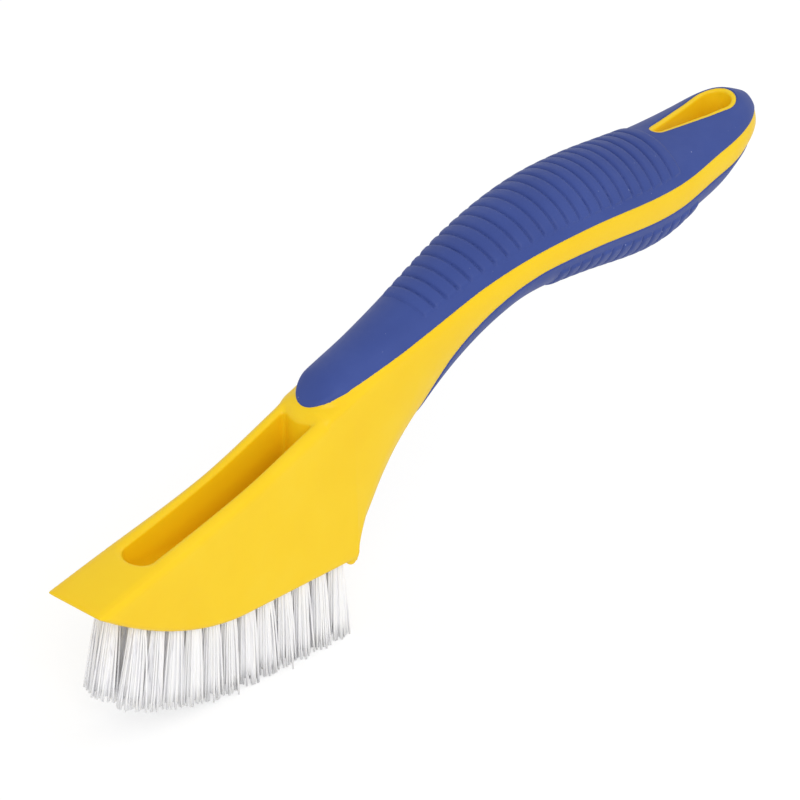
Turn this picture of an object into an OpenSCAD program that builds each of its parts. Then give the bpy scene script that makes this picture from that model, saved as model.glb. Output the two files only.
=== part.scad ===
// Grout brush: a rigid body with a soft upper and lower grip, and tufts of stiff filaments in drilled holes.
// The nose edge lies at -X, the hanging hole at +X, and the filament tips touch the plane z = 0.

/* [Head] */
// Length of the head, from the nose edge to the back of the heel
head_len = 87; // [84:0.5:92]
// Width of the head across its mounting face
head_w = 19.6; // [19:0.2:22]
// Drop of the mounting face below the nose edge
head_drop = 19.4; // [18:0.2:21]
// Length of the curved front part of the mounting face
rocker_len = 50; // [44:1:56]
// Thickness of the nose edge, which scrapes
nose_t = 1; // [0.8:0.1:1.6]
// Height of the shoulder ridge at the back of the head, above the nose edge
shoulder_z = 22.2; // [21:0.2:23.4]
// Width of the pocket in the top of the head
pocket_w = 10; // [7:0.5:11]
// Front end of the pocket, from the nose edge
pocket_front = 18.5; // [18:0.5:26]
// Solid left between the pocket's end and the lip under the upper grip
lip_t = 1.8; // [0.8:0.1:2]
// Floor of the pocket, above the mounting face at the heel
floor_h = 15; // [14:0.5:17]

/* [Handle] */
// Length of the neck, from the heel to the front of the grip
neck_len = 53; // [48:1:58]
// Length of the grip, from the neck to the end
grip_len = 96; // [92:1:106]
// Height of the grip's widest line above the nose edge
waist_z = 42.5; // [41:0.5:44]
// Width of the grip at its thickest
grip_w = 29.4; // [27:0.2:32]
// Thickness of the grip above its widest line
grip_top = 13.2; // [12:0.2:14.5]
// Thickness of the grip below its widest line
grip_belly = 16.5; // [15.5:0.5:18.5]
// Half of the height of the bare stripe on each side
stripe_half = 3.2; // [2.6:0.1:3.6]

/* [Soft grips] */
// Thickness of the soft grips
skin_t = 2; // [1.6:0.1:2.4]
// Distance from one rib to the next
rib_pitch = 3.7; // [3.6:0.05:3.8]
// Height of a rib
rib_h = 0.55; // [0.2:0.05:0.6]
// Ribs on the upper grip
upper_ribs = 23; // [20:1:23]
// Ribs on the lower grip
lower_ribs = 14; // [10:1:14]
// Pitches from the first upper rib to the first lower rib
lower_first = 11; // [9:1:11]
// Width of the upper grip's round tip
tongue_w = 14; // [12:0.2:14]

/* [Hanging hole] */
// Width of the hanging hole at its round end
hole_w = 8.4; // [7:0.2:9]
// Length of the hanging hole
hole_len = 26; // [22:0.5:27]
// Solid left behind the hanging hole
hole_back = 7.4; // [7:0.2:9]
// Wall of the rim round the hanging hole
rim_t = 1.5; // [1.2:0.1:1.8]

/* [Filaments] */
// Free length of the filaments
free_len = 22; // [16:0.5:28]
// Diameter of a tuft's hole
bore_d = 4.2; // [3.6:0.1:4.4]
// Clearance all round between a tuft's root and its hole
root_clear = 0.05; // [0.03:0.01:0.15]
// Distance from one tuft to the next along the head
tuft_pitch = 6.1; // [6:0.05:6.3]
// Distance between the rows of tufts
row_pitch = 5.8; // [5.4:0.1:6]
// Front tuft of the middle row, from the nose edge
tuft_front = 12.6; // [12:0.1:13.2]
// Thickness of a strand
strand_t = 0.6; // [0.4:0.05:0.6]
// Strands in the outer ring of a tuft
ring_strands = 8; // [6:1:8]
// Strands in the middle of a tuft
core_strands = 3; // [2:1:3]
// Depth of the tuft holes in the nose
root_nose = 3.2; // [2.6:0.1:3.4]
// Depth of the tuft holes in the thick part of the head
root_full = 7; // [5:0.5:8]
// Lean of the front tufts towards the nose, in degrees
lean_front = 14; // [6:1:15]
// Lean of the rear tufts towards the heel, in degrees
lean_rear = 1; // [0:1:3]
// Thickness of the wire anchor that holds a tuft down
anchor_t = 0.4; // [0.3:0.05:0.5]
// Height of the wire anchor
anchor_h = 1.4; // [1:0.1:1.8]

/* [Hidden] */

// Tufts in three rows; the middle row stands half a pitch further forward than the outer ones
row_tufts = 12;
function two(i) = i < 10 ? str("0", i) : str(i);
TUFTS = [for (r = [-1:1], i = [0:row_tufts - 1]) [tuft_front + (i + abs(r) / 2) * tuft_pitch, r * row_pitch]];

body_yellow = "#f7cf2a";
grip_blue = "#3f4f9a";
filament_clear = "#e9e9e6";
anchor_steel = "#a8a9a6";
eps = 0.01;
above_all = 90;

// Stations along the brush: a share of the head, of the neck and of the grip
end_x = head_len + neck_len + grip_len;
function on_head(f) = head_len * f;
function on_neck(f) = head_len + neck_len * f;
function on_grip(f) = head_len + neck_len + grip_len * f;
function mix(a, b, t) = a + (b - a) * t;
function limit(v) = max(0, min(1, v));

// Smooth curve through points of place and value
function span(p, x, i = 0) = i >= len(p) - 2 || x < p[i + 1][0] ? i : span(p, x, i + 1);
function steep(p, i) = let (a = p[max(i - 1, 0)], b = p[min(i + 1, len(p) - 1)]) (b[1] - a[1]) / (b[0] - a[0]);
function curve(p, x) =
    let (i = span(p, x), a = p[i], b = p[i + 1], d = b[0] - a[0], t = limit((x - a[0]) / d))
    a[1] * (2 * t * t * t - 3 * t * t + 1) + b[1] * (3 * t * t - 2 * t * t * t)
    + d * (steep(p, i) * (t * t * t - 2 * t * t + t) + steep(p, i + 1) * (t * t * t - t * t));

// The upper grip's tip and the lip below it
tip_back = 9.3;
tip_x = head_len - tip_back;
pocket_end = tip_x - lip_t;
tip_r = 10;

// Length over which the boxy underside of the heel turns into the round underside of the handle
round_over = 48;

// Height of the widest line above the nose edge
waist_line = [
    [0, 0],
    [on_head(0.57), shoulder_z * 0.52],
    [on_head(0.92), shoulder_z],
    [on_neck(0.43), mix(shoulder_z, waist_z, 0.45)],
    [on_neck(1), waist_z - 2.5],
    [on_grip(0.25), waist_z],
    [on_grip(0.6), waist_z - 1.1],
    [on_grip(0.8), waist_z + 1.4],
    [on_grip(1), waist_z + 4.5],
];

// Half of the width at the widest line, before the end is rounded
width_line = [
    [0, head_w / 2 - 0.2],
    [on_head(0.25), head_w / 2 - 0.5],
    [on_head(0.57), head_w / 2 - 1.4],
    [on_head(0.92), head_w / 2 - 1.3],
    [on_neck(0.25), grip_w * 0.31],
    [on_neck(0.62), grip_w * 0.37],
    [on_neck(1), grip_w * 0.435],
    [on_grip(0.2), grip_w * 0.487],
    [on_grip(0.35), grip_w * 0.5],
    [on_grip(0.5), grip_w * 0.493],
    [on_grip(0.65), grip_w * 0.46],
    [on_grip(0.8), grip_w * 0.405],
    [on_grip(1), grip_w * 0.375],
];

// Thickness above the widest line
top_line = [
    [0, nose_t / 2],
    [on_head(0.3), 1.2],
    [on_head(0.57), 1.6],
    [pocket_end - 2, 1.6],
    [pocket_end, 1.8],
    [tip_x, 2.7],
    [tip_x + 2.5, 4.4],
    [tip_x + 6, 6.4],
    [tip_x + 8, 6.8],
    [on_neck(0.25), 6.4],
    [on_neck(0.62), grip_top * 0.58],
    [on_neck(1), grip_top * 0.745],
    [on_grip(0.2), grip_top * 0.92],
    [on_grip(0.4), grip_top * 0.99],
    [on_grip(0.5), grip_top * 0.98],
    [on_grip(0.6), grip_top * 0.93],
    [on_grip(0.8), grip_top * 0.755],
    [on_grip(0.92), grip_top * 0.69],
    [on_grip(1), grip_top * 0.36],
];

// Depth below the widest line, behind the heel
depth_line = [
    [on_head(1), shoulder_z + head_drop + 2],
    [on_neck(0.03), shoulder_z + head_drop - 0.2],
    [on_neck(0.08), shoulder_z + head_drop - 4.2],
    [on_neck(0.15), shoulder_z + head_drop - 10.2],
    [on_neck(0.24), grip_belly * 1.57],
    [on_neck(0.37), grip_belly * 1.29],
    [on_neck(0.62), grip_belly],
    [on_neck(1), grip_belly * 0.79],
    [on_grip(0.1), grip_belly * 0.785],
    [on_grip(0.3), grip_belly * 0.91],
    [on_grip(0.5), grip_belly],
    [on_grip(0.6), grip_belly * 0.965],
    [on_grip(0.7), grip_belly * 0.83],
    [on_grip(0.8), grip_belly * 0.75],
    [on_grip(0.9), grip_belly * 0.43],
    [on_grip(1), grip_belly * 0.165],
];

// Lean of the sections towards the nose, so that they stand square to the handle
lean_line = [
    [0, 0],
    [head_len - 3, 0],
    [on_neck(0.37), 0.27],
    [on_neck(0.8), 0.28],
    [on_grip(0.2), 0.06],
    [on_grip(0.6), 0],
    [end_x, 0],
];

// Height of the mounting face, which curves up to the nose edge at the front
function face_z(x) = -head_drop * (1 - pow(1 - limit(x / rocker_len), 1.8));

// The end is round in plan
end_r = 20;
end_flat = 1.2;
function end_round(x) = sqrt(1 - pow(limit((x - end_x + end_r) / end_r), 2));
function half_w(x) = curve(width_line, x) * end_round(x) + end_flat * (1 - end_round(x));
function low_at(x) = x < head_len ? curve(waist_line, x) - face_z(x) + nose_t / 2 : curve(depth_line, x);

// One section: place, half width, waist height, thickness above and below, lean, and how round its underside is
function section(x) = [
    x,
    half_w(x),
    curve(waist_line, x),
    curve(top_line, x),
    low_at(x),
    curve(lean_line, x),
    sqrt(limit((x - head_len) / round_over)),
];
function at(s, y, dz) = [s[0] - s[5] * dz, y, s[2] + dz];

// Points of a section's upper and lower surface; the angle runs from the widest line to the middle
corner_r = 1.6;
rear_round = 2;
rear_run = 3;
function corner_y(s) = corner_r + rear_round * limit((s[0] - head_len) / rear_run);
function corner_z(s) = min(corner_r + 3 * rear_round * limit((s[0] - head_len) / rear_run), s[4] * 0.8);
function upper_at(s, side, a) = at(s, side * s[1] * cos(a), s[3] * sin(a));
function box_y(s, t) =
    t < 0.45 ? mix(s[1], head_w / 2, t / 0.45)
    : t < 0.75 ? head_w / 2 - corner_y(s) * (1 - cos((t - 0.45) * 300))
    : (head_w / 2 - corner_y(s)) * (1 - t) / 0.25;
function box_z(s, t) =
    let (r = corner_z(s))
    t < 0.45 ? -(s[4] - r) * t / 0.45
    : t < 0.75 ? -(s[4] - r) - r * sin((t - 0.45) * 300)
    : -s[4];
function lower_at(s, side, a) = at(
    s,
    side * mix(box_y(s, a / 90), s[1] * cos(a), s[6]),
    mix(box_z(s, a / 90), -s[4] * sin(a), s[6])
);

// Edges of the bare stripe, as angles from the widest line
lower_tip_back = 16.05;
lower_tip_x = head_len + lower_tip_back;
tip_flat = 1;
tongue_flare = 0.13;
edge_share = 0.85;
neck_share = 0.74;
neck_run = 25;
function stripe_top(x) = stripe_half * mix(neck_share, 1, limit((x - on_neck(0.34)) / neck_run));
function tip_half(x) = tip_flat + (tongue_w / 2 - tip_flat) * sqrt(1 - pow(1 - limit((x - tip_x) / tip_r), 2))
    + tongue_flare * max(0, x - tip_x - tip_r);
tip_edge = acos(tip_flat / half_w(tip_x));
function up_edge(s) =
    s[0] < tip_x ? mix(30, tip_edge, limit(1 - (tip_x - s[0]) / 14))
    : max(asin(min(edge_share, stripe_top(s[0]) / s[3])), s[0] < on_neck(1) ? acos(min(1, tip_half(s[0]) / s[1])) : 0);
low_tip_edge = 78;
low_edge_line = [
    [lower_tip_x, low_tip_edge],
    [lower_tip_x + 3, 62],
    [lower_tip_x + 6, 52],
    [lower_tip_x + 12, 42],
    [lower_tip_x + 21, 29],
    [lower_tip_x + 31, 19.5],
    [lower_tip_x + 46, 14],
];
function low_edge(s) =
    s[0] < lower_tip_x ? mix(20, low_tip_edge, limit((s[0] - head_len) / (lower_tip_x - head_len)))
    : max(curve(low_edge_line, s[0]), s[0] > on_grip(0.7) ? asin(min(edge_share, stripe_half / s[4])) : 0);

// Depth of the recess for a soft grip, which grows from nothing behind the grip's tip
function recess(x, tip) = skin_t * limit((x - tip) / 1.8);

// Points of the recess floor between its two edges, evenly spaced from the near to the far side
up_n = 12;
low_n = 10;
edge_gap = 3;
function floor_up(s, k) =
    let (e = up_edge(s), d = recess(s[0], tip_x), b = 180 * k / up_n)
    d < eps ? upper_at(s, -1, mix(e + edge_gap, 180 - e - edge_gap, k / up_n))
    : let (y = max(0.3, s[1] * cos(e) - d), z = s[3] * sin(e))
    at(s, -y * cos(b), z + max(0.15, s[3] - d - z) * sin(b));
function skin_up(s, k, bump = 0) =
    let (e = up_edge(s), a = mix(e, 180 - e, k / up_n), h = bump * min(1, 3 * sin(180 * k / up_n)))
    at(s, -(s[1] + h) * cos(a), (s[3] + h) * sin(a));
function floor_low(s, k) =
    let (e = low_edge(s), d = recess(s[0], lower_tip_x), b = 180 * k / low_n)
    let (a = mix(e + edge_gap, 180 - e - edge_gap, k / low_n))
    d < eps ? lower_at(s, a > 90 ? 1 : -1, a > 90 ? 180 - a : a)
    : let (p = lower_at(s, 1, e), z = s[2] - p[2], y = max(0.3, p[1] - d))
    at(s, -y * cos(b), -z - max(0.15, s[4] - d - z) * sin(b));
function skin_low(s, k, bump = 0) =
    let (e = low_edge(s), a = mix(e, 180 - e, k / low_n), h = bump * min(1, 3 * sin(180 * k / low_n)))
    let (p = lower_at(s, a > 90 ? 1 : -1, a > 90 ? 180 - a : a))
    [p[0], p[1] - h * cos(a), p[2] - h * sin(a)];

// Stations: close at the nose, the lip and the end, one a rib between them
first_rib = 29;
rib_x = head_len + first_rib - rib_pitch / 2;
valleys = upper_ribs + 1;
head_stations = concat(
    [for (f = [0, 0.023, 0.058, 0.1, 0.16]) on_head(f)],
    [for (i = [0:9]) mix(on_head(0.23), pocket_end - 2, i / 9)],
    [pocket_end - 0.8, pocket_end, tip_x - 0.6]
);
tip_stations = [for (d = [0, 0.6, 1.8, 3.2, 5, 7]) tip_x + d];
neck_count = round((rib_x - head_len) / rib_pitch);
neck_stations = [for (i = [0:neck_count - 1]) rib_x - (neck_count - i) * rib_pitch];
rib_stations = [for (i = [0:valleys]) rib_x + i * rib_pitch];
last_rib = rib_x + valleys * rib_pitch;
end_stations = [for (i = [1:12]) last_rib + (end_x - last_rib) * sin(90 * i / 12)];
front_stations = concat([head_len], [for (x = neck_stations) if (x > head_len + 1) x]);
stations = concat(head_stations, tip_stations, front_stations, rib_stations, end_stations);
upper_stations = [for (x = stations) if (x >= tip_x - eps) x];
lower_stations = [for (x = stations) if (x >= lower_tip_x - 2) x];

// Triangles between two rows of points, with the diagonal towards one side or the other
function pair(a, b, i, flip) =
    flip ? [[a + i, b + i, a + i + 1], [a + i + 1, b + i, b + i + 1]]
    : [[a + i, b + i, b + i + 1], [a + i, b + i + 1, a + i + 1]];
function turned(faces) = [for (f = faces) [f[2], f[1], f[0]]];

// The rigid body as one closed ring of points a station
side_n = 4;
function body_ring(x) = let (s = section(x), u = up_edge(s), l = low_edge(s)) concat(
    [for (k = [low_n / 2:-1:0]) floor_low(s, k)],
    [for (k = [side_n:-1:1]) lower_at(s, -1, l * k / side_n)],
    [for (k = [0:side_n]) upper_at(s, -1, u * k / side_n)],
    [for (k = [0:up_n]) floor_up(s, k)],
    [for (k = [side_n:-1:0]) upper_at(s, 1, u * k / side_n)],
    [for (k = [1:side_n]) lower_at(s, 1, l * k / side_n)],
    [for (k = [low_n:-1:low_n / 2 + 1]) floor_low(s, k)]
);
module body_solid() {
    rings = [for (x = stations) body_ring(x)];
    n = len(rings[0]);
    quarter = low_n / 2 + side_n + 1;
    half = quarter + side_n + 1 + up_n / 2;
    function flipped(i) = (i >= quarter && i < half) || i >= 2 * half - quarter;
    sides = [for (j = [0:len(rings) - 2], i = [0:n - 1])
        let (a = j * n + i, b = a + n, c = j * n + (i + 1) % n, d = c + n)
        each (flipped(i) ? [[a, b, c], [c, b, d]] : [[a, b, d], [a, d, c]])];
    last = (len(rings) - 1) * n;
    front = [for (i = [1:n - 2]) [0, i, i + 1]];
    back = [for (i = [1:n - 2]) [last, last + i + 1, last + i]];
    polyhedron([for (r = rings) each r], turned(concat(front, sides, back)));
}

// Shape of the hanging hole in plan, grown by a wall
hole_x = end_x - hole_back - hole_w / 2;
hole_tip = end_x - hole_back - hole_len;
point_r = 0.9;
function hole_outline(wall) =
    let (r = hole_w / 2 + wall, q = point_r + wall, d = hole_x - hole_tip - point_r, a = acos((r - q) / d))
    concat(
        [for (i = [-10:10]) [hole_x + r * cos((180 - a) * i / 10), r * sin((180 - a) * i / 10)]],
        [for (i = [-3:3]) [hole_x - d - q * cos(a * i / 3), -q * sin(a * i / 3)]]
    );

// The rim round the hanging hole, up to the grips' outer faces
module rim_plug() {
    rim = hole_outline(rim_t);
    n = len(rim);
    function top_z(p) = let (s = section(p[0])) s[2] + s[3] * sqrt(1 - pow(p[1] / s[1], 2));
    function low_z(p) = let (s = section(p[0])) s[2] - s[4] * sqrt(1 - pow(p[1] / s[1], 2));
    mid = [hole_x - hole_w / 2, 0];
    top = [for (p = rim) [p[0], p[1], top_z(p)]];
    low = [for (p = rim) [p[0], p[1], low_z(p)]];
    points = concat(top, low, [[mid[0], mid[1], top_z(mid)], [mid[0], mid[1], low_z(mid)]]);
    faces = [for (i = [0:n - 1]) let (j = (i + 1) % n)
        each [[i, 2 * n, j], [i, j, n + j], [i, n + j, n + i], [n + i, n + j, 2 * n + 1]]];
    polyhedron(points, faces);
}

// The pocket in plan: round at the front, square with small corners at the back
module pocket_plan() {
    w = pocket_w / 2;
    round_len = w * 0.72;
    corner = 1.4;
    translate([pocket_front + round_len, 0])
    intersection() {
        scale([round_len / w, 1]) circle(r = w, $fn = 48);
        translate([-w, -w]) square([w + eps, pocket_w]);
    }
    translate([pocket_front + round_len, -w]) square([pocket_end - corner - pocket_front - round_len, pocket_w]);
    translate([pocket_end - 2 * corner, corner - w]) square([2 * corner, pocket_w - 2 * corner]);
    for (side = [-1, 1]) translate([pocket_end - corner, side * (w - corner)]) circle(r = corner, $fn = 24);
}

// One tuft's place, its depth in the head and its direction
function tuft_depth(x) = mix(root_nose, root_full, limit(x / rocker_len));
function tuft_lean(x) = x < rocker_len ? -lean_front * pow(1 - x / rocker_len, 1.3)
    : lean_rear * (x - rocker_len) / (head_len - rocker_len);
function root_z(x) = face_z(x) - nose_t / 2;
module at_root(t) translate([t[0], t[1], root_z(t[0])]) rotate([0, -tuft_lean(t[0]), 0]) children();

// The brush is drawn from its nose edge, then set down with its tips on z = 0
module placed() translate([-end_x / 2, 0, head_drop + nose_t / 2 + free_len]) children();

// A bead across the bottom of the heel
bead_r = 1.3;
bead_half = head_w / 2 - bead_r - 0.5;
bead_x = head_len - 0.7;
bead_z = -head_drop - nose_t / 2 - 0.3;
module heel_bead() translate([bead_x, 0, bead_z]) rotate([90, 0, 0]) {
    cylinder(r = bead_r, h = 2 * bead_half, center = true, $fn = 20);
    for (side = [-1, 1]) translate([0, 0, side * bead_half]) sphere(r = bead_r, $fn = 20);
}

module body() {
    color(body_yellow)
    placed()
    difference() {
        union() {
            body_solid();
            rim_plug();
            heel_bead();
        }
        translate([0, 0, floor_h - head_drop]) linear_extrude(above_all) pocket_plan();
        linear_extrude(above_all) polygon(hole_outline(0));
        for (t = TUFTS) at_root(t) translate([0, 0, -2]) cylinder(d = bore_d, h = tuft_depth(t[0]) + 2, $fn = 24);
    }
}

// A soft grip: its outer rows have two more points a rib, its inner rows lie on the body's recess
function rib_here(x, first, count) = x > first - eps && x < first + count * rib_pitch - rib_pitch / 2;
function outer_rows(xs, first, count) = [for (j = [0:len(xs) - 2])
    each (rib_here(xs[j], first, count) ? [[j, 0, 0], [j, 0.3, 0.75], [j, 0.62, 1]] : [[j, 0, 0]])];

module upper_grip() {
    xs = upper_stations;
    secs = [for (x = xs) section(x)];
    marks = outer_rows(xs, rib_x, upper_ribs);
    rows = concat(
        [for (m = marks) [for (k = [0:up_n])
            m[0] == 0 && m[1] == 0 ? floor_up(secs[0], k)
            : mix(skin_up(secs[m[0]], k, m[2] * rib_h), skin_up(secs[m[0] + 1], k, m[2] * rib_h), m[1])]],
        [[for (k = [0:up_n]) skin_up(secs[len(xs) - 1], k)]]
    );
    color(grip_blue)
    placed()
    difference() {
        grip_solid(rows, [for (s = secs) [for (k = [0:up_n]) floor_up(s, k)]], [for (m = marks) m[0]], up_n, true);
        linear_extrude(above_all) polygon(hole_outline(rim_t));
    }
}

module lower_grip() {
    xs = lower_stations;
    secs = [for (x = xs) section(x)];
    marks = outer_rows(xs, rib_x + lower_first * rib_pitch, lower_ribs);
    rows = concat(
        [for (m = marks) [for (k = [0:low_n])
            m[0] == 0 && m[1] == 0 ? floor_low(secs[0], k)
            : mix(skin_low(secs[m[0]], k, m[2] * rib_h), skin_low(secs[m[0] + 1], k, m[2] * rib_h), m[1])]],
        [[for (k = [0:low_n]) skin_low(secs[len(xs) - 1], k)]]
    );
    color(grip_blue)
    placed()
    difference() {
        grip_solid(rows, [for (s = secs) [for (k = [0:low_n]) floor_low(s, k)]], [for (m = marks) m[0]], low_n, false);
        linear_extrude(above_all) polygon(hole_outline(rim_t));
    }
}

// Closed shell between outer rows and inner rows that share their first row; owner gives each outer row's station
module grip_solid(outer, inner, owner, n, upward) {
    w = n + 1;
    base = len(outer) * w;
    rows_n = len(outer);
    owners = concat(owner, [len(inner) - 1]);
    function inner_row(j) = j == 0 ? 0 : base + (j - 1) * w;
    function flip(i) = upward ? i < n / 2 : i >= n / 2;
    skin = [for (j = [0:rows_n - 2], i = [0:n - 1]) each pair(j * w, (j + 1) * w, i, !flip(i))];
    floors = [for (j = [0:len(inner) - 2], i = [0:n - 1])
        each turned(pair(inner_row(j), inner_row(j + 1), i, flip(i)))];
    walls = [for (j = [0:rows_n - 2]) let (a = owners[j], b = owners[j + 1], p = inner_row(a), q = inner_row(b))
        each concat(
            j == 0 ? [] : [[j * w, p, (j + 1) * w], [(j + 1) * w + n, p + n, j * w + n]],
            a == b ? [] : [[(j + 1) * w, p, q], [q + n, p + n, (j + 1) * w + n]]
        )];
    last = (rows_n - 1) * w;
    tail = inner_row(len(inner) - 1);
    cap = [for (i = [0:n - 1]) each [[last + i, tail + i, tail + i + 1], [last + i, tail + i + 1, last + i + 1]]];
    all = concat(skin, floors, walls, cap);
    polyhedron([for (r = outer) each r, for (j = [1:len(inner) - 1]) each inner[j]], upward ? turned(all) : all);
}

// A tuft: filaments folded over their anchor in the hole, and fanned out below the face
module strand(from, to) {
    side = [for (a = [0, 120, 240]) strand_t / sqrt(3) * [cos(a), sin(a), 0]];
    polyhedron(
        [for (p = [from, to], s = side) p + s],
        [[2, 1, 0], [3, 4, 5], [4, 3, 0], [1, 4, 0], [5, 4, 1], [2, 5, 1], [3, 5, 2], [0, 3, 2]]
    );
}
spread = 1.3;
ring_inset = 0.13;
ring_r = bore_d / 2 - root_clear - strand_t / sqrt(3) - ring_inset;
core_r = strand_t * 0.85;
function on_ring(r, turn) = [r * cos(turn), r * sin(turn)];
SPOTS = concat(
    [for (i = [0:ring_strands - 1]) on_ring(ring_r, 360 * i / ring_strands)],
    [for (i = [0:core_strands - 1]) on_ring(core_r, 360 * (i + 0.5) / core_strands)]
);
function uneven(i, seed) = 0.9 * sin(i * 97 + seed * 53) - 0.9;
module tuft(number) {
    t = TUFTS[number - 1];
    depth = tuft_depth(t[0]);
    color(filament_clear)
    placed()
    at_root(t) {
        difference() {
            translate([0, 0, -0.3])
            cylinder(d = bore_d - 2 * root_clear, h = depth + 0.3 - root_clear, $fn = 24);
            translate([-anchor_t / 2 - root_clear, -bore_d, depth - anchor_h - root_clear])
            cube([anchor_t + 2 * root_clear, 2 * bore_d, anchor_h + 1]);
        }
        for (i = [0:len(SPOTS) - 1]) {
            spot = SPOTS[i];
            reach = (free_len + uneven(i, number)) / cos(tuft_lean(t[0]));
            strand([spot[0], spot[1], 0.4], [spot[0] * spread, spot[1] * spread, -reach]);
        }
    }
}

// The anchors: flat wire pieces pressed across the bottom of each hole
module tuft_anchors() {
    color(anchor_steel)
    placed()
    for (t = TUFTS) at_root(t)
    translate([-anchor_t / 2, -bore_d / 2 + 0.3, tuft_depth(t[0]) - anchor_h])
    cube([anchor_t, bore_d - 0.6, anchor_h]);
}

body();
upper_grip();
lower_grip();
tuft_anchors();
for (i = [1:len(TUFTS)]) tuft(i);
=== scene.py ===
"""Grout brush: the detailed body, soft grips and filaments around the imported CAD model, on a pale floor."""
import math
import random
from itertools import product

import bpy
import numpy as np
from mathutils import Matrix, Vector


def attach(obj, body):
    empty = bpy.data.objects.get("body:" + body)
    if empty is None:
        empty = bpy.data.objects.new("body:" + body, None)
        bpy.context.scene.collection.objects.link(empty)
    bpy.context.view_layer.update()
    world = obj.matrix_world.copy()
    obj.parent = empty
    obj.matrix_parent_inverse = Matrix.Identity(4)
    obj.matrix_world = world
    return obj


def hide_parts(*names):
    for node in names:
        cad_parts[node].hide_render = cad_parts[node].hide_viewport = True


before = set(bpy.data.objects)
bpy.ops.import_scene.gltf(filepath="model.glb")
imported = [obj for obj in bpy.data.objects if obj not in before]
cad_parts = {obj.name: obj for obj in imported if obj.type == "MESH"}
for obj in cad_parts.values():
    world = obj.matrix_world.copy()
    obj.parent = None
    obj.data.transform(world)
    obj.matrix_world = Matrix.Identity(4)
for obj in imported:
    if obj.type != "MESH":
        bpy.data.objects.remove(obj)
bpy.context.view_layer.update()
MM = 0.001

# Sizes in millimetres, as in the CAD source: from the nose edge back (x), across (y) and above it (z)
HEAD, NECK, GRIP = 87.0, 53.0, 96.0
END = HEAD + NECK + GRIP
HEAD_W, DROP, ROCKER, NOSE_T, SHOULDER = 19.6, 19.4, 50.0, 1.0, 22.2
WAIST, GRIP_W, TOP, BELLY = 42.5, 29.4, 13.2, 16.5
# The bare stripe's half height, its share at the neck, and the most of a section's height it may reach
STRIPE, NECK_SHARE, NECK_RUN, EDGE_SHARE = 3.2, 0.74, 25.0, 0.85
POCKET_W, POCKET_FRONT, FLOOR_H = 10.0, 18.5, 15.0
TIP_X, TIP_R, TONGUE_W, FLARE, LIP = HEAD - 9.3, 10.0, 14.0, 0.13, 1.8
POCKET_END = TIP_X - LIP
LOW_TIP = HEAD + 16.05
ROUND_OVER, CORNER_R, REAR_ROUND, REAR_RUN = 48.0, 1.6, 2.0, 3.0
BEAD_R, BEAD_X, BEAD_Z = 1.3, HEAD - 0.7, -DROP - NOSE_T / 2 - 0.3
BEAD_HALF = HEAD_W / 2 - BEAD_R - 0.5
SKIN, RIB_PITCH, RIB_H, RIBS_UP, RIBS_LOW, LOW_FIRST = 2.0, 3.7, 0.55, 23, 14, 11
RIB_X = HEAD + 29 - RIB_PITCH / 2
HOLE_W, HOLE_LEN, HOLE_BACK, RIM, RIM_LAP, POINT_R = 8.4, 26.0, 7.4, 1.5, 0.3, 0.9
HOLE_X = END - HOLE_BACK - HOLE_W / 2
HOLE_TIP = END - HOLE_BACK - HOLE_LEN + POINT_R
END_R, END_FLAT = 20.0, 1.2
FREE, BORE, TUFT_PITCH, ROW_PITCH, TUFT_FRONT, ROW_TUFTS = 22.0, 4.2, 6.1, 5.8, 12.6, 12
ROOT_NOSE, ROOT_FULL, LEAN_FRONT, LEAN_REAR = 3.2, 7.0, 14.0, 1.0
SHIFT = np.array([-END / 2, 0.0, DROP + NOSE_T / 2 + FREE])
# Roundings between surfaces
POCKET_ROUND, FLOOR_ROUND, REAR_ROUNDING, BEAD_ROUND, HOLE_ROUND, SEAM_ROUND = 2.2, 4.0, 1.6, 1.2, 1.1, 0.3
GRIP_ROUND, CORNER_ROUND, RIDGE_ROUND, RIDGE_CUT, END_ROUND, NOSE_ROUND = 0.5, 0.8, 1.0, 0.4, 2.0, 0.25


def head(f):
    return HEAD * f


def neck(f):
    return HEAD + NECK * f


def grip(f):
    return HEAD + NECK + GRIP * f


def curve(points, x):
    """The smooth curve through points of place and value that the CAD source uses."""
    p = np.array(points, float)
    px, pv = p[:, 0], p[:, 1]
    lo = np.maximum(np.arange(len(p)) - 1, 0)
    hi = np.minimum(np.arange(len(p)) + 1, len(p) - 1)
    slope = (pv[hi] - pv[lo]) / (px[hi] - px[lo])
    i = np.clip(np.searchsorted(px, x, side="right") - 1, 0, len(p) - 2)
    d = px[i + 1] - px[i]
    t = np.clip((x - px[i]) / d, 0, 1)
    return (pv[i] * (2 * t**3 - 3 * t**2 + 1) + pv[i + 1] * (3 * t**2 - 2 * t**3)
            + d * (slope[i] * (t**3 - 2 * t**2 + t) + slope[i + 1] * (t**3 - t**2)))


WAIST_LINE = [(0, 0), (head(0.57), SHOULDER * 0.52), (head(0.92), SHOULDER),
              (neck(0.43), SHOULDER + (WAIST - SHOULDER) * 0.45), (neck(1), WAIST - 2.5), (grip(0.25), WAIST),
              (grip(0.6), WAIST - 1.1), (grip(0.8), WAIST + 1.4), (grip(1), WAIST + 4.5)]
WIDTH_LINE = [(0, HEAD_W / 2 - 0.2), (head(0.25), HEAD_W / 2 - 0.5), (head(0.57), HEAD_W / 2 - 1.4),
              (head(0.92), HEAD_W / 2 - 1.3), (neck(0.25), GRIP_W * 0.31), (neck(0.62), GRIP_W * 0.37),
              (neck(1), GRIP_W * 0.435), (grip(0.2), GRIP_W * 0.487), (grip(0.35), GRIP_W * 0.5),
              (grip(0.5), GRIP_W * 0.493), (grip(0.65), GRIP_W * 0.46), (grip(0.8), GRIP_W * 0.405),
              (grip(1), GRIP_W * 0.375)]
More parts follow.
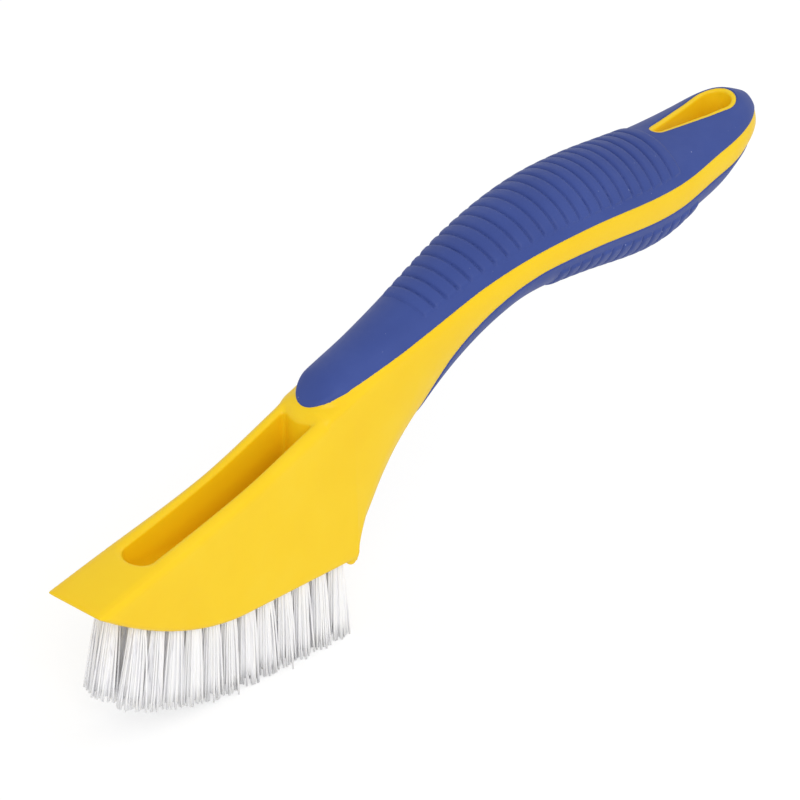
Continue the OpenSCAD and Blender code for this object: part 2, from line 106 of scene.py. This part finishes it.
TOP_LINE = [(0, NOSE_T / 2), (head(0.3), 1.2), (head(0.57), 1.6), (POCKET_END - 2, 1.6), (POCKET_END, 1.8),
            (TIP_X, 2.7), (TIP_X + 2.5, 4.4), (TIP_X + 6, 6.4), (TIP_X + 8, 6.8), (neck(0.25), 6.4),
            (neck(0.62), TOP * 0.58), (neck(1), TOP * 0.745), (grip(0.2), TOP * 0.92),
            (grip(0.4), TOP * 0.99), (grip(0.5), TOP * 0.98), (grip(0.6), TOP * 0.93),
            (grip(0.8), TOP * 0.755), (grip(0.92), TOP * 0.69), (grip(1), TOP * 0.36)]
HEEL_DEPTH = SHOULDER + DROP
DEPTH_LINE = [(head(1), HEEL_DEPTH + 2), (neck(0.03), HEEL_DEPTH - 0.2), (neck(0.08), HEEL_DEPTH - 4.2),
              (neck(0.15), HEEL_DEPTH - 10.2), (neck(0.24), BELLY * 1.57), (neck(0.37), BELLY * 1.29),
              (neck(0.62), BELLY), (neck(1), BELLY * 0.79), (grip(0.1), BELLY * 0.785),
              (grip(0.3), BELLY * 0.91), (grip(0.5), BELLY), (grip(0.6), BELLY * 0.965),
              (grip(0.7), BELLY * 0.83), (grip(0.8), BELLY * 0.75), (grip(0.9), BELLY * 0.43),
              (grip(1), BELLY * 0.165)]
LEAN_LINE = [(0, 0), (HEAD - 3, 0), (neck(0.37), 0.27), (neck(0.8), 0.28), (grip(0.2), 0.06), (grip(0.6), 0),
             (END, 0)]
# The lower grip's edge, as an angle below the widest line
LOW_EDGE_LINE = [(LOW_TIP - 1, 90), (LOW_TIP - 0.4, 82), (LOW_TIP + 0.8, 73), (LOW_TIP + 3, 62),
                 (LOW_TIP + 6, 52), (LOW_TIP + 12, 42), (LOW_TIP + 21, 29), (LOW_TIP + 31, 19.5),
                 (LOW_TIP + 46, 14)]


def face_z(x):
    return -DROP * (1 - np.power(1 - np.clip(np.asarray(x, float) / ROCKER, 0, 1), 1.8))


# Tables along the brush, read by straight interpolation
XS = np.arange(-3.0, END + 3.01, 0.2)
XC = np.clip(XS, 0, END)
T_WAIST, T_TOP, T_LEAN = curve(WAIST_LINE, XC), curve(TOP_LINE, XC), curve(LEAN_LINE, XC)
ROUND_END = np.sqrt(np.maximum(1 - np.clip((XC - END + END_R) / END_R, 0, 1) ** 2, 0))
T_HALF = curve(WIDTH_LINE, XC) * ROUND_END + END_FLAT * (1 - ROUND_END)
T_LOW = np.where(XC < HEAD, T_WAIST - face_z(XC) + NOSE_T / 2, curve(DEPTH_LINE, XC))
STRIPE_ANGLE = np.degrees(np.arcsin(np.minimum(EDGE_SHARE, STRIPE / T_LOW)))
T_EDGE = np.maximum(curve(LOW_EDGE_LINE, XC), np.where(XC > grip(0.7), STRIPE_ANGLE, 0))
T_EDGE = np.radians(np.where(XC < LOW_TIP - 1, 90 + (LOW_TIP - 1 - XC) * 8, T_EDGE))
ANGLES = np.radians(np.arange(0, 90.01, 0.5))


def lower_radii():
    """Radius of each section's lower half by its angle from the widest line.

    The section is a box with rounded corners at the head, and becomes an ellipse behind it.
    """
    t = np.linspace(0, 1, 181)
    table = np.zeros((len(XS), len(ANGLES)))
    behind = np.clip((XC - HEAD) / REAR_RUN, 0, 1)
    roundness = np.sqrt(np.clip((XC - HEAD) / ROUND_OVER, 0, 1))
    for i, (w, low, m) in enumerate(zip(T_HALF, T_LOW, roundness)):
        ry = CORNER_R + REAR_ROUND * behind[i]
        rz = min(CORNER_R + 3 * REAR_ROUND * behind[i], low * 0.8)
        turn = np.radians((t - 0.45) * 300)
        corner_y, corner_z = HEAD_W / 2 - ry * (1 - np.cos(turn)), low - rz + rz * np.sin(turn)
        by = np.where(t < 0.45, w + (HEAD_W / 2 - w) * t / 0.45,
                      np.where(t < 0.75, corner_y, (HEAD_W / 2 - ry) * (1 - t) / 0.25))
        bz = np.where(t < 0.45, (low - rz) * t / 0.45, np.where(t < 0.75, corner_z, low))
        y = by + (w * np.cos(t * math.pi / 2) - by) * m
        z = bz + (low * np.sin(t * math.pi / 2) - bz) * m
        table[i] = np.interp(ANGLES, np.arctan2(z, y), np.hypot(y, z))
    return table


LOW_R = lower_radii().astype(np.float32)


def look(table, x):
    return np.interp(x, XS, table)


def station(x, z):
    """Place along the brush of the leaning section a point lies in, and the height above the widest line."""
    s = x
    for _ in range(5):
        s = s + 0.65 * (x + look(T_LEAN, s) * (z - look(T_WAIST, s)) - s)
    return s, z - look(T_WAIST, s)


def outer_raw(x, y, z):
    """Negative inside the sections and positive outside, by the share of the radius."""
    s, dz = station(x, z)
    w, top = look(T_HALF, s), look(T_TOP, s)
    r = np.hypot(y, dz) + 1e-6
    up = 1 / np.sqrt((y / r / w) ** 2 + (dz / r / top) ** 2)
    i = np.clip((s - XS[0]) / (XS[1] - XS[0]), 0, len(XS) - 1.001)
    j = np.clip(np.arctan2(-dz, np.abs(y)) / (ANGLES[1] - ANGLES[0]), 0, len(ANGLES) - 1.001)
    i0, j0 = i.astype(int), j.astype(int)
    fi, fj = i - i0, j - j0
    low = ((LOW_R[i0, j0] * (1 - fi) + LOW_R[i0 + 1, j0] * fi) * (1 - fj)
           + (LOW_R[i0, j0 + 1] * (1 - fi) + LOW_R[i0 + 1, j0 + 1] * fi) * fj)
    return (r / np.where(dz > 0, up, low) - 1) * 20


def tongue_raw(x, y, z):
    """Outline of the upper grip's tongue in plan."""
    s = station(x, z)[0]
    t = (s - TIP_X) / TIP_R
    half = TONGUE_W / 2
    return np.where(t < 1, (np.sqrt((1 - t) ** 2 + (y / half) ** 2) - 1) * half,
                    np.abs(y) - half - FLARE * (s - TIP_X - TIP_R))


def stripe_raw(x, y, z):
    """The upper grip's edge along the bare stripe."""
    s, dz = station(x, z)
    share = NECK_SHARE + (1 - NECK_SHARE) * np.clip((s - neck(0.34)) / NECK_RUN, 0, 1)
    return np.minimum(STRIPE * share, EDGE_SHARE * look(T_TOP, s)) - dz


def low_edge_raw(x, y, z):
    """The lower grip's edge, by the angle below the widest line."""
    s, dz = station(x, z)
    a = np.arctan2(-dz / look(T_LOW, s), np.abs(y) / look(T_HALF, s))
    return (look(T_EDGE, s) - a) * 8


def even(raw, x, y, z, h=0.12):
    """A field divided by its steepness, so that it reads as a distance in millimetres near its surface."""
    f = raw(x, y, z)
    gx, gy, gz = (raw(x + h, y, z) - f) / h, (raw(x, y + h, z) - f) / h, (raw(x, y, z + h) - f) / h
    return f / np.maximum(np.sqrt(gx * gx + gy * gy + gz * gz), 0.25)


def ease(t):
    """A smooth step from 0 to 1."""
    t = np.clip(t, 0, 1)
    return t * t * (3 - 2 * t)


def smax(a, b, k):
    """The larger of two fields, with a rounding of about k between them."""
    h = np.maximum(k - np.abs(a - b), 0) / k
    return np.maximum(a, b) + h * h * k / 4


def outer(x, y, z):
    """Distance to the outside of the brush, with the long edges beside the pocket taken off."""
    s, dz = station(x, z)
    d = even(outer_raw, x, y, z)
    w, top = look(T_HALF, s), look(T_TOP, s)
    ridge = (np.abs(y) + dz - np.hypot(w, top)) * 0.707 + RIDGE_CUT - np.clip((s - TIP_X) / 6, 0, 1) * 2
    return smax(smax(smax(d, ridge, RIDGE_ROUND), s - END, END_ROUND), -s, NOSE_ROUND)


def bead(x, y, z):
    """Distance to the bead across the bottom of the heel."""
    return np.sqrt((x - BEAD_X) ** 2 + np.maximum(np.abs(y) - BEAD_HALF, 0) ** 2 + (z - BEAD_Z) ** 2) - BEAD_R


# The soft grips' outlines, grown a little for what their rounded edges draw back
EDGE_BACK = 0.2


def upper_edge(x, y, z):
    return smax(even(tongue_raw, x, y, z), even(stripe_raw, x, y, z), CORNER_ROUND) - EDGE_BACK


def lower_edge(x, y, z):
    # At the end of the handle the stripe goes round, so the grip stays below it there
    s, dz = station(x, z)
    end = dz + 0.8 * np.minimum(STRIPE, EDGE_SHARE * look(T_LOW, s)) - np.clip(END - 3 - s, 0, 9) * 3
    return smax(even(low_edge_raw, x, y, z), end, GRIP_ROUND) - EDGE_BACK


def hole(x, y):
    """Distance in plan to the drop-shaped hanging hole."""
    r1, r2 = HOLE_W / 2, POINT_R
    length = HOLE_X - HOLE_TIP
    b = (r1 - r2) / length
    a = math.sqrt(1 - b * b)
    u, v = np.abs(y), HOLE_X - x
    k = a * v - b * u
    side = np.where(k > a * length, np.hypot(u, v - length) - r2, a * u + b * v - r1)
    return np.where(k < 0, np.hypot(u, v) - r1, side)


def pocket(x, y, z):
    """Distance to the pocket in the head."""
    w = POCKET_W / 2
    round_len = w * 0.72
    front = POCKET_FRONT + round_len
    nose_end = (np.sqrt(np.minimum((x - front) / round_len, 0) ** 2 + (y / w) ** 2) - 1) * (w * 0.9)
    back = x - POCKET_END + 0.8 - 1.3 * (y / w) ** 2
    plan = smax(np.where(x < front, nose_end, np.abs(y) - w), back, REAR_ROUNDING)
    return smax(plan, FLOOR_H - DROP - z, FLOOR_ROUND)


def tuft_lean(x):
    """Lean of the tufts along the head, forward at the nose."""
    front = -LEAN_FRONT * np.power(np.clip(1 - x / ROCKER, 0, 1), 1.3)
    return np.radians(np.where(x < ROCKER, front, LEAN_REAR * (x - ROCKER) / (HEAD - ROCKER)))


def bores(x, y, z):
    """Distance to the nearest tuft hole."""
    row = np.clip(np.round(y / ROW_PITCH), -1, 1)
    first = TUFT_FRONT + np.abs(row) / 2 * TUFT_PITCH
    up = z - (face_z(x) - NOSE_T / 2)
    i = np.round((x - up * np.tan(tuft_lean(x)) - first) / TUFT_PITCH)
    tx = first + np.clip(i, 0, ROW_TUFTS - 1) * TUFT_PITCH
    lean = tuft_lean(tx)
    dx, dz = x - tx, z - (face_z(tx) - NOSE_T / 2)
    along = dz * np.cos(lean) - dx * np.sin(lean)
    across = np.hypot(dx * np.cos(lean) + dz * np.sin(lean), y - row * ROW_PITCH)
    depth = ROOT_NOSE + (ROOT_FULL - ROOT_NOSE) * np.clip(tx / ROCKER, 0, 1)
    return np.maximum(across - BORE / 2, along - depth)


# A soft grip stands a little proud, and its edge laps over the rim of its recess
PROUD, LAP, TIP_SKIN, TIP_RUN = 0.24, 0.5, 0.5, 4.0
# Ribs are round lobes with narrow valleys, which stop before the grip's edge
VALLEY, LOBE_POWER, RIB_MARGIN, RIB_FADE = 0.3, 2.6, 2.4, 1.2


def skin(s, tip):
    """Depth of a soft grip's recess, which grows from its tip."""
    return TIP_SKIN + (SKIN - TIP_SKIN) * ease((s - tip) / TIP_RUN)


def shoulder(s, up, edge):
    """How far the body stays below the upper grip's outline, so that its tongue stands out like a pillow."""
    depth = 0.8 * (skin(s, TIP_X) - 0.4) * (s > TIP_X)
    return depth * ease((edge + 0.7) / 1.6) * ease((TIP_X + 20 - s) / 13) * ease(up / 2.4)


def body_field(x, y, z):
    h = hole(x, y)
    s, dz = station(x, z)
    whole, edge = outer(x, y, z), upper_edge(x, y, z)
    o = whole + shoulder(s, dz, edge)
    rim = RIM - h
    up = smax(smax(edge + LAP, -(whole + skin(s, TIP_X)), SEAM_ROUND), rim, SEAM_ROUND)
    low = smax(smax(lower_edge(x, y, z) + LAP, -(o + skin(s, LOW_TIP)), SEAM_ROUND), rim, SEAM_ROUND)
    d = -smax(-o, -bead(x, y, z), BEAD_ROUND)
    d = smax(d, -np.minimum(up, low), SEAM_ROUND)
    d = smax(d, -pocket(x, y, z), POCKET_ROUND)
    d = smax(d, -h, HOLE_ROUND)
    return smax(d, -bores(x, y, z), SEAM_ROUND)


def rib_height(s, first, count):
    u = (s - first) / RIB_PITCH
    lobe = np.abs(np.sin(np.pi * u))
    lobe = 1 - (1 - lobe) ** LOBE_POWER
    return (RIB_H * lobe - VALLEY * (1 - lobe)) * ((u > 0) & (u < count))


def grip_field(edge, tip, first, count):
    def field(x, y, z):
        o = outer(x, y, z)
        e = edge(x, y, z)
        s = station(x, z)[0]
        face = o - PROUD - rib_height(s, first, count) * ease((-e - RIB_MARGIN) / RIB_FADE)
        d = smax(smax(face, e, GRIP_ROUND), -(o + skin(s, tip)), SEAM_ROUND)
        return smax(d, RIM - RIM_LAP - hole(x, y), GRIP_ROUND)
    return field


EDGES = [(a, b) for a in product((0, 1), repeat=3) for b in product((0, 1), repeat=3)
         if sum(q - p for p, q in zip(a, b)) == 1 and all(q >= p for p, q in zip(a, b))]
CORNERS = list(product((0, 1), repeat=3))


def surface(field, lo, hi, step):
    """Vertices and quads of a field's zero surface, with one vertex in each cell that it crosses."""
    block = 6
    n = [int(math.ceil((b - a) / step / block)) * block + 1 for a, b in zip(lo, hi)]
    axes = [(a + step * np.arange(m)).astype(float) for a, m in zip(lo, n)]
    coarse = np.meshgrid(*[a[::block] for a in axes], indexing="ij")
    c = field(*coarse)
    m = [k - 1 for k in c.shape]
    corner = [c[i:m[0] + i, j:m[1] + j, k:m[2] + k] for i, j, k in CORNERS]
    near = np.min(np.abs(corner), axis=0) < block * step * 1.5
    values = np.kron(np.where(corner[0] < 0, -9.0, 9.0), np.ones((block, block, block)))
    values = np.pad(values, ((0, 1), (0, 1), (0, 1)), constant_values=9.0).astype(np.float32)
    wanted = np.zeros(values.shape, bool)
    for i, j, k in np.argwhere(near):
        wanted[tuple(slice(q * block, (q + 1) * block + 1) for q in (i, j, k))] = True
    at = np.nonzero(wanted)
    for start in range(0, len(at[0]), 400000):
        part = tuple(q[start:start + 400000] for q in at)
        values[part] = field(*[a[q] for a, q in zip(axes, part)])
    inside = values < 0
    m = [k - 1 for k in values.shape]
    count = sum(inside[i:m[0] + i, j:m[1] + j, k:m[2] + k].astype(np.int8) for i, j, k in CORNERS)
    active = (count > 0) & (count < 8)
    number = np.full(active.shape, -1, np.int64)
    number[active] = np.arange(active.sum())
    cells = np.argwhere(active)
    total, hits = np.zeros((len(cells), 3)), np.zeros(len(cells))
    for a, b in EDGES:
        fa = values[tuple((cells + a).T)].astype(float)
        fb = values[tuple((cells + b).T)].astype(float)
        cross = (fa < 0) != (fb < 0)
        t = np.where(cross, fa / np.where(cross, fa - fb, 1), 0)
        total += cross[:, None] * (np.array(a) + t[:, None] * (np.array(b) - np.array(a)))
        hits += cross
    points = np.array(lo) + step * (cells + total / hits[:, None])
    quads = []
    for axis in range(3):
        u, v = (axis + 1) % 3, (axis + 2) % 3
        ends = [slice(None)] * 3, [slice(None)] * 3
        ends[0][axis], ends[1][axis] = slice(0, -1), slice(1, None)
        change = inside[tuple(ends[0])] != inside[tuple(ends[1])]
        p = np.argwhere(change)
        keep = (p[:, u] > 0) & (p[:, v] > 0) & (p[:, u] < m[u]) & (p[:, v] < m[v])
        p = p[keep]
        du, dv = np.eye(3, dtype=int)[u], np.eye(3, dtype=int)[v]
        ring = np.stack([number[tuple((p - q).T)] for q in (du + dv, dv, 0 * du, du)], 1)
        out = inside[tuple(p.T)]
        quads.append(np.where(out[:, None], ring, ring[:, ::-1]))
    h = 0.08
    for _ in range(2):
        f = field(*points.T)
        g = np.stack([field(*(points + h * e).T) - f for e in np.eye(3)], 1) / h
        move = g * (f / np.maximum((g * g).sum(1), 0.3))[:, None]
        length = np.linalg.norm(move, axis=1)
        points = points - move * np.minimum(1, 0.4 * step / np.maximum(length, 1e-9))[:, None]
    return points, np.concatenate(quads)


def mesh_object(name, points, faces, material):
    mesh = bpy.data.meshes.new(name)
    mesh.from_pydata(((np.asarray(points) + SHIFT) * MM).tolist(), [], [list(map(int, f)) for f in faces])
    mesh.validate()
    mesh.polygons.foreach_set("use_smooth", np.ones(len(mesh.polygons), bool))
    mesh.materials.append(material)
    made = bpy.data.objects.new(name, mesh)
    bpy.context.scene.collection.objects.link(made)
    return made


# Materials
def linear(hexa):
    rgb = [int(hexa[i:i + 2], 16) / 255 for i in (0, 2, 4)]
    return [c / 12.92 if c <= 0.04045 else ((c + 0.055) / 1.055) ** 2.4 for c in rgb] + [1.0]


def material(name, base, rough):
    made = bpy.data.materials.new(name)
    made.use_nodes = True
    tree = made.node_tree
    shader = tree.nodes["Principled BSDF"]
    shader.inputs["Base Color"].default_value = base
    shader.inputs["Roughness"].default_value = rough
    return made, tree, shader


def node(tree, kind, **inputs):
    made = tree.nodes.new(kind)
    for name, value in inputs.items():
        made.inputs[name.replace("_", " ")].default_value = value
    return made


def noise(tree, scale, detail=3.0, rough=0.5, stretch=(1, 1, 1)):
    place = tree.nodes.new("ShaderNodeTexCoord")
    mapping = tree.nodes.new("ShaderNodeMapping")
    mapping.inputs["Scale"].default_value = stretch
    tree.links.new(place.outputs["Object"], mapping.inputs["Vector"])
    made = node(tree, "ShaderNodeTexNoise", Scale=scale, Detail=detail, Roughness=rough)
    tree.links.new(mapping.outputs["Vector"], made.inputs["Vector"])
    return made.outputs["Fac"]


def ramp(tree, source, *stops):
    made = tree.nodes.new("ShaderNodeValToRGB")
    ends = made.color_ramp.elements
    while len(ends) < len(stops):
        ends.new(0.5)
    for element, (place, colour) in zip(ends, stops):
        element.position = place
        element.color = colour if hasattr(colour, "__len__") else (colour, colour, colour, 1)
    tree.links.new(source, made.inputs["Fac"])
    return made.outputs["Color"]


def bump(tree, shader, height, strength, distance, under=None):
    made = node(tree, "ShaderNodeBump", Strength=strength, Distance=distance)
    tree.links.new(height, made.inputs["Height"])
    if under is not None:
        tree.links.new(under, made.inputs["Normal"])
    tree.links.new(made.outputs["Normal"], shader.inputs["Normal"])
    return made.outputs["Normal"]


def body_material():
    made, tree, shader = material("moulded_yellow", linear("f9d016"), 0.42)
    cloudy = noise(tree, 38, 4.0, 0.55)
    colour = ramp(tree, cloudy, (0.25, linear("f6cb10")), (0.55, linear("f9d016")), (0.85, linear("fad52c")))
    tree.links.new(colour, shader.inputs["Base Color"])
    scuffs = noise(tree, 420, 6.0, 0.62, (1, 1, 0.35))
    tree.links.new(ramp(tree, scuffs, (0.35, 0.34), (0.7, 0.46)), shader.inputs["Roughness"])
    shader.inputs["Specular IOR Level"].default_value = 0.3
    shader.inputs["Subsurface Weight"].default_value = 0.15
    shader.inputs["Subsurface Radius"].default_value = (1.0, 0.8, 0.2)
    shader.inputs["Subsurface Scale"].default_value = 0.0014
    soft = bump(tree, shader, noise(tree, 60, 2.0), 0.12, 0.0006)
    bump(tree, shader, noise(tree, 2600, 2.0), 0.06, 0.00006, soft)
    return made


def grip_material():
    made, tree, shader = material("soft_blue", linear("354a92"), 0.56)
    cloudy = noise(tree, 46, 4.0, 0.6)
    colour = ramp(tree, cloudy, (0.25, linear("31458b")), (0.55, linear("354a92")), (0.85, linear("3c5199")))
    dust = noise(tree, 900, 1.0, 0.4)
    specks = ramp(tree, dust, (0.79, 0.0), (0.83, 0.5))
    mix = tree.nodes.new("ShaderNodeMix")
    mix.data_type = "RGBA"
    tree.links.new(specks, mix.inputs["Factor"])
    tree.links.new(colour, mix.inputs["A"])
    mix.inputs["B"].default_value = linear("9aa5cc")
    tree.links.new(mix.outputs["Result"], shader.inputs["Base Color"])
    worn = noise(tree, 300, 5.0, 0.6)
    tree.links.new(ramp(tree, worn, (0.3, 0.5), (0.75, 0.64)), shader.inputs["Roughness"])
    shader.inputs["Specular IOR Level"].default_value = 0.35
    shader.inputs["Sheen Weight"].default_value = 0.06
    shader.inputs["Sheen Roughness"].default_value = 0.45
    soft = bump(tree, shader, noise(tree, 110, 2.0), 0.1, 0.0005)
    bump(tree, shader, noise(tree, 3200, 2.0), 0.12, 0.00008, soft)
    return made


def filament_material():
    made, tree, shader = material("clear_filament", linear("fefefe"), 0.3)
    # Thin grey streaks along the filaments: partly tone that differs from strand to strand, partly painted
    # shade in the gaps between strands
    strand_tone_and_gap_shade = noise(tree, 1500, 1.0, 0.4, (1, 1, 0.02))
    colour = ramp(tree, strand_tone_and_gap_shade, (0.25, linear("e2e2e6")), (0.36, linear("fcfcff")), (0.7, linear("ffffff")))
    tree.links.new(colour, shader.inputs["Base Color"])
    bump(tree, shader, noise(tree, 2500, 2.0, 0.5, (1, 1, 0.1)), 0.1, 0.00005)
    return made


def wire_material():
    made, tree, shader = material("anchor_wire", linear("a8a9a6"), 0.35)
    shader.inputs["Metallic"].default_value = 1.0
    drawn = noise(tree, 2000, 3.0, 0.6, (1, 0.05, 1))
    tree.links.new(ramp(tree, drawn, (0.3, 0.25), (0.7, 0.5)), shader.inputs["Roughness"])
    bump(tree, shader, drawn, 0.2, 0.00004)
    return made


yellow, blue, clear, steel = body_material(), grip_material(), filament_material(), wire_material()

# The moulded body and the soft grips
FINE, SOFT_FINE = ((0.42, 0.3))
SIDE, REAR, ABOVE = 16.2, END + 1.2, 57.5
points, faces = surface(body_field, (-1.2, -SIDE, -21.5), (REAR, SIDE, ABOVE), FINE)
body = mesh_object("brush_body", points, faces, yellow)
upper_field = grip_field(upper_edge, TIP_X, RIB_X, RIBS_UP)
points, faces = surface(upper_field, (TIP_X - 2, -SIDE, 22), (REAR, SIDE, ABOVE), SOFT_FINE)
upper = mesh_object("upper_soft_grip", points, faces, blue)
lower_field = grip_field(lower_edge, LOW_TIP, RIB_X + LOW_FIRST * RIB_PITCH, RIBS_LOW)
points, faces = surface(lower_field, (LOW_TIP - 4, -SIDE, -8), (REAR, SIDE, 50), SOFT_FINE)
lower = mesh_object("lower_soft_grip", points, faces, blue)
for piece, cad_node, slot in ((body, "body", "body_plastic"), (upper, "upper_grip", "soft_grip"),
                              (lower, "lower_grip", "soft_grip")):
    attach(piece, "root")
    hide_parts(cad_node)

# The filaments: each tuft's strands are packed in its hole and fan out to uneven, square-cut tips
STRANDS, STRAND_R, SIDES, RINGS = 40, 0.25, 6, 5
CORE_SIDES, CORE_LOBES, CORE_ROOT, CORE_TIP, GROOVE = 72, 18, 1.55, 2.3, 0.2
# Share of the hole's depth that strands reach, the turn from strand to strand, and the ring they stand in
REACH, NEXT_TURN, RING_IN, RING_WIDE = 0.6, 2.39996, 1.0, 0.85
BASE_Z = -SHIFT[2] + 0.02


def placed(centre, lean, along, across, down):
    """A point of a leaning tuft, from its place in the tuft's own cross section and how far down it is."""
    return centre + np.array([along * math.cos(lean) + down * math.sin(lean), across,
                              along * math.sin(lean) - down * math.cos(lean)])


def filament(rng, centre, lean, depth, index):
    """Points of the rings of one strand."""
    turn = index * NEXT_TURN + rng.uniform(-0.2, 0.2)
    radius = RING_IN + RING_WIDE * math.sqrt((index + 0.5) / STRANDS)
    root = np.array([radius * math.cos(turn), radius * math.sin(turn)])
    stray = 0.8 if rng.random() < 0.14 else 0.25
    tip = root * rng.uniform(1.3, 1.8) + np.array([rng.gauss(0, stray), rng.gauss(0, stray)])
    bend = np.array([rng.gauss(0, 0.08), rng.gauss(0, 0.08)])
    inner = -depth * REACH
    length = (FREE - rng.uniform(0.0, 1.0) - (1.3 if rng.random() < 0.1 else 0.0)) / math.cos(lean)
    ring_points = []
    for k in range(RINGS + 1):
        down = inner + (length - inner) * k / RINGS
        free = max(0.0, down / length)
        off = root + (tip - root) * free ** 0.6 + bend * free * (1 - free) * 2
        for side in range(SIDES):
            a = 2 * math.pi * side / SIDES
            along, across = off[0] + STRAND_R * math.cos(a), off[1] + STRAND_R * math.sin(a)
            point = placed(centre, lean, along, across, down)
            point[2] = max(point[2], BASE_Z)
            ring_points.append(point)
    return ring_points


def tube_faces(start, sides):
    made = []
    for k in range(RINGS):
        for side in range(sides):
            a, b = start + k * sides + side, start + k * sides + (side + 1) % sides
            made.append((a, a + sides, b + sides, b))
    made.append(tuple(start + side for side in range(sides)))
    made.append(tuple(start + RINGS * sides + side for side in range(sides))[::-1])
    return made


def packed_core(rng, centre, lean, depth):
    """The filaments packed in a tuft's middle, which stand so close that only their outer sides show."""
    ring_points = []
    short = [rng.uniform(1.6, 4.2) for _ in range(CORE_LOBES)]
    for k in range(RINGS + 1):
        t = k / RINGS
        for side in range(CORE_SIDES):
            a = 2 * math.pi * side / CORE_SIDES
            groove = 1 - abs(math.cos(a * CORE_LOBES / 2))
            r = CORE_ROOT + (CORE_TIP - CORE_ROOT) * t ** 0.8 - GROOVE * groove
            length = FREE / math.cos(lean) - short[side * CORE_LOBES // CORE_SIDES]
            down = -depth * REACH + (length + depth * REACH) * t
            ring_points.append(placed(centre, lean, r * math.cos(a), r * math.sin(a), down))
    return ring_points


number = 0
for row in (-1, 0, 1):
    for i in range(ROW_TUFTS):
        number += 1
        rng = random.Random(4100 + number)
        x = TUFT_FRONT + (i + abs(row) / 2) * TUFT_PITCH
        lean = float(tuft_lean(np.array(x)))
        centre = np.array([x, row * ROW_PITCH, float(face_z(x)) - NOSE_T / 2])
        depth = ROOT_NOSE + (ROOT_FULL - ROOT_NOSE) * min(1.0, x / ROCKER)
        points = packed_core(rng, centre, lean, depth)
        faces = tube_faces(0, CORE_SIDES)
        for index in range(STRANDS):
            faces += tube_faces(len(points), SIDES)
            points += filament(rng, centre, lean, depth, index)
        tuft = mesh_object(f"filaments_{number:02d}", np.array(points), faces, clear)
        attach(tuft, "root")
        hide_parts(f"tuft_{number:02d}")

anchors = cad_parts["tuft_anchors"]
anchors.data.materials.clear()
anchors.data.materials.append(steel)

# Floor, light and camera
scene = bpy.context.scene
floor_mesh = bpy.data.meshes.new("floor")
reach = 12.0
floor_corners = [(-reach, -reach, 0), (reach, -reach, 0), (reach, reach, 0), (-reach, reach, 0)]
floor_mesh.from_pydata(floor_corners, [], [(0, 1, 2, 3)])
floor = bpy.data.objects.new("floor", floor_mesh)
scene.collection.objects.link(floor)
paper, paper_tree, paper_shader = material("pale_floor", (0.94, 0.94, 0.94, 1), 0.9)
paper_shader.inputs["Specular IOR Level"].default_value = 0.1
# To the camera the floor is mostly its own white, and the rest keeps the object's shadow
seen = paper_tree.nodes.new("ShaderNodeLightPath").outputs["Is Camera Ray"]
share = paper_tree.nodes.new("ShaderNodeMath")
share.operation = "MULTIPLY"
share.inputs[1].default_value = 0.6
paper_tree.links.new(seen, share.inputs[0])
white = paper_tree.nodes.new("ShaderNodeEmission")
white.inputs["Strength"].default_value = 1.15
paper_mix = paper_tree.nodes.new("ShaderNodeMixShader")
paper_tree.links.new(share.outputs[0], paper_mix.inputs["Fac"])
paper_tree.links.new(paper_shader.outputs[0], paper_mix.inputs[1])
paper_tree.links.new(white.outputs[0], paper_mix.inputs[2])
paper_tree.links.new(paper_mix.outputs[0], paper_tree.nodes["Material Output"].inputs["Surface"])
floor_mesh.materials.append(paper)

world = bpy.data.worlds.new("studio")
scene.world = world
world.use_nodes = True
world.node_tree.nodes["Background"].inputs["Color"].default_value = (1, 1, 1, 1)
world.node_tree.nodes["Background"].inputs["Strength"].default_value = 0.72


def lamp(name, place, size, power, aim=(0, 0, 0.05)):
    data = bpy.data.lights.new(name, "AREA")
    data.shape = "DISK"
    data.size = size
    data.energy = power
    made = bpy.data.objects.new(name, data)
    made.location = place
    made.rotation_euler = (Vector(aim) - Vector(place)).to_track_quat("-Z", "Y").to_euler()
    scene.collection.objects.link(made)


lamp("key", (-1.05, -1.35, 1.15), 1.2, 12.5)
lamp("fill", (1.2, -0.6, 1.3), 1.6, 4)

TARGET = Vector((0.002, 0.008397, 0.04692))
DISTANCE, AZIMUTH, ELEVATION = 2.4, math.radians(-45), math.radians(30)
camera = bpy.data.objects.new("camera", bpy.data.cameras.new("camera"))
camera.data.sensor_width = 36
camera.data.lens = 432
camera.data.clip_start, camera.data.clip_end = 0.1, 60
back = Vector((math.sin(AZIMUTH) * math.cos(ELEVATION), -math.cos(AZIMUTH) * math.cos(ELEVATION),
               math.sin(ELEVATION)))
camera.location = TARGET + back * DISTANCE
camera.rotation_euler = (-back).to_track_quat("-Z", "Y").to_euler()
scene.collection.objects.link(camera)
scene.camera = camera
scene.view_settings.view_transform = "Standard"
